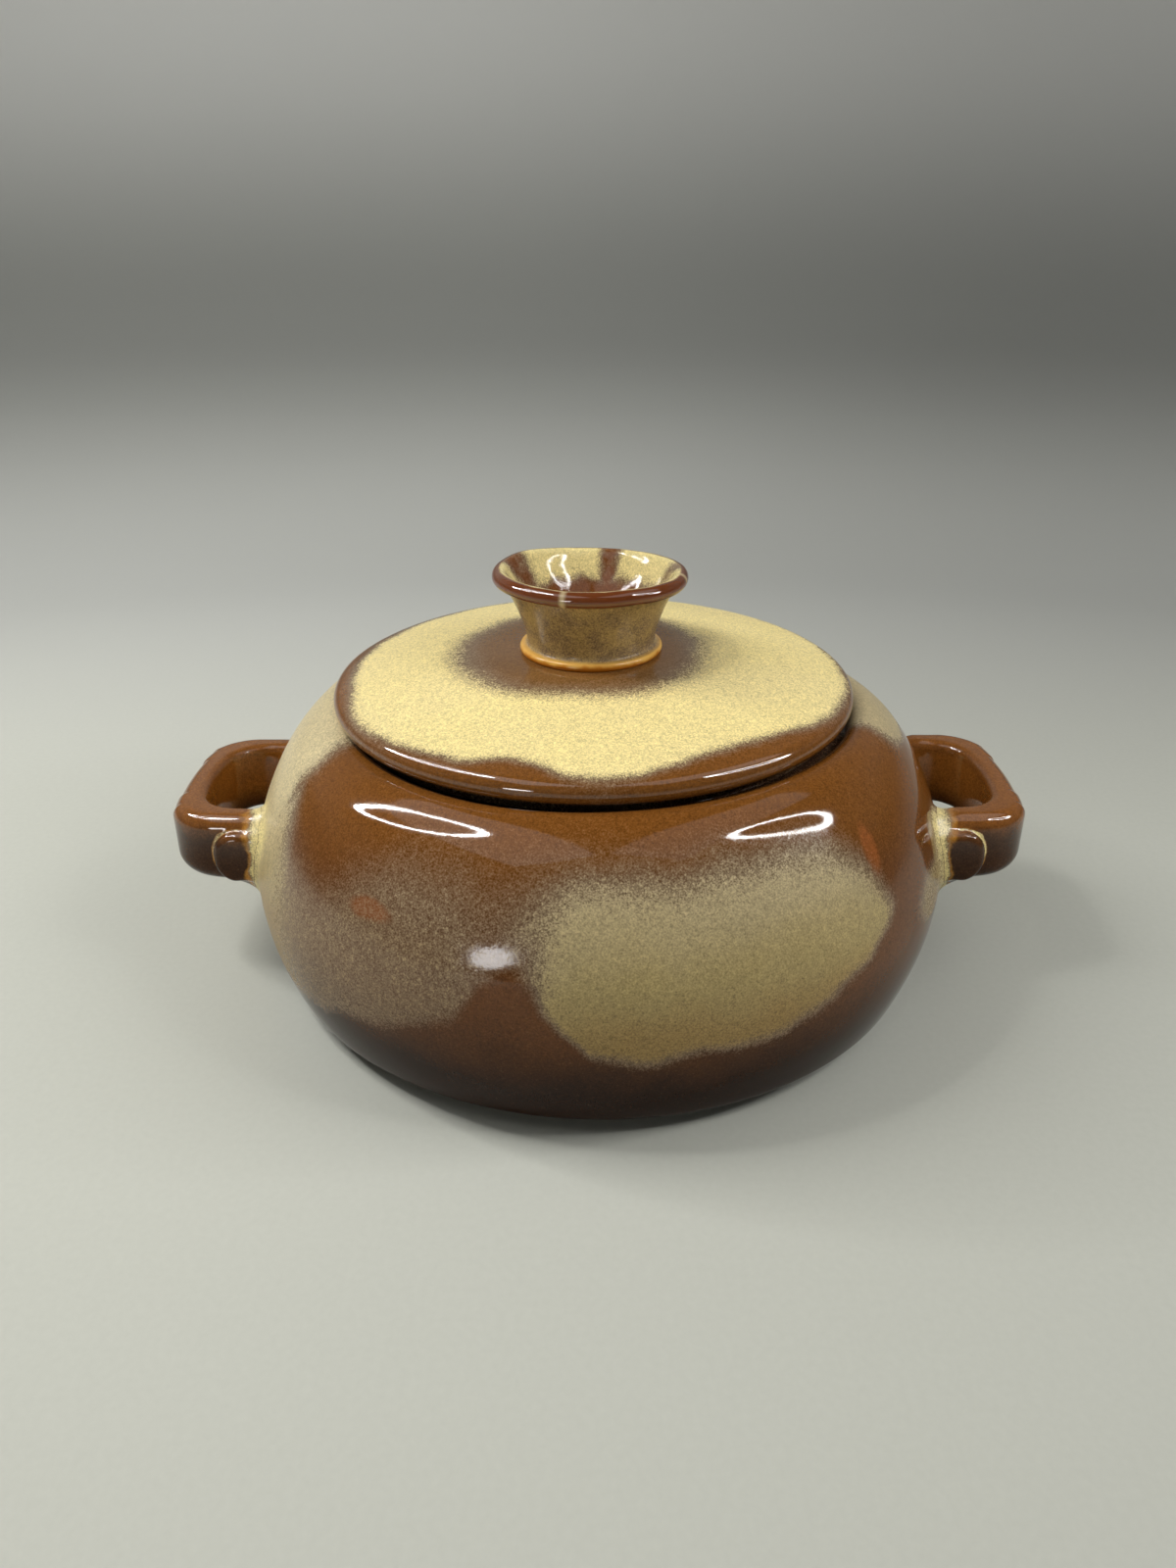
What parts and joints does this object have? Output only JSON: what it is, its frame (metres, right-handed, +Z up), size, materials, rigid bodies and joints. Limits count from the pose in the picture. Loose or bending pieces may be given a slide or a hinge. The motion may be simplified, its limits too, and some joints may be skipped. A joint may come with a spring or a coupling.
{
  "type": "lidded bean pot",
  "caption": "Round bulging glazed stoneware pot with a loop handle on each side and a lift-off domed lid that has a hollow flared knob, for baking and serving.",
  "frame": {"origin": "centre of the foot ring, on the surface that the pot stands on", "axes": "+Z up, +X towards the right handle, -Y towards the front, which is the same as the back"},
  "size_m": [0.2676, 0.22, 0.1279],
  "materials": {
    "pot_glaze": "gloss",
    "handle_glaze": "gloss",
    "lid_glaze": "gloss",
    "knob_glaze": "gloss"
  },
  "bodies": {
    "pot": {"pot_body": "pot_glaze", "left_handle": "handle_glaze", "right_handle": "handle_glaze"},
    "lid_assembly": {"lid": "lid_glaze", "lid_knob": "knob_glaze"}
  },
  "joints": [
    {"name": "lid_lift", "type": "slide", "parent": "pot", "child": "lid_assembly", "axis": [0, 0, 1], "range_m": [0, 0.15]}
  ]
}
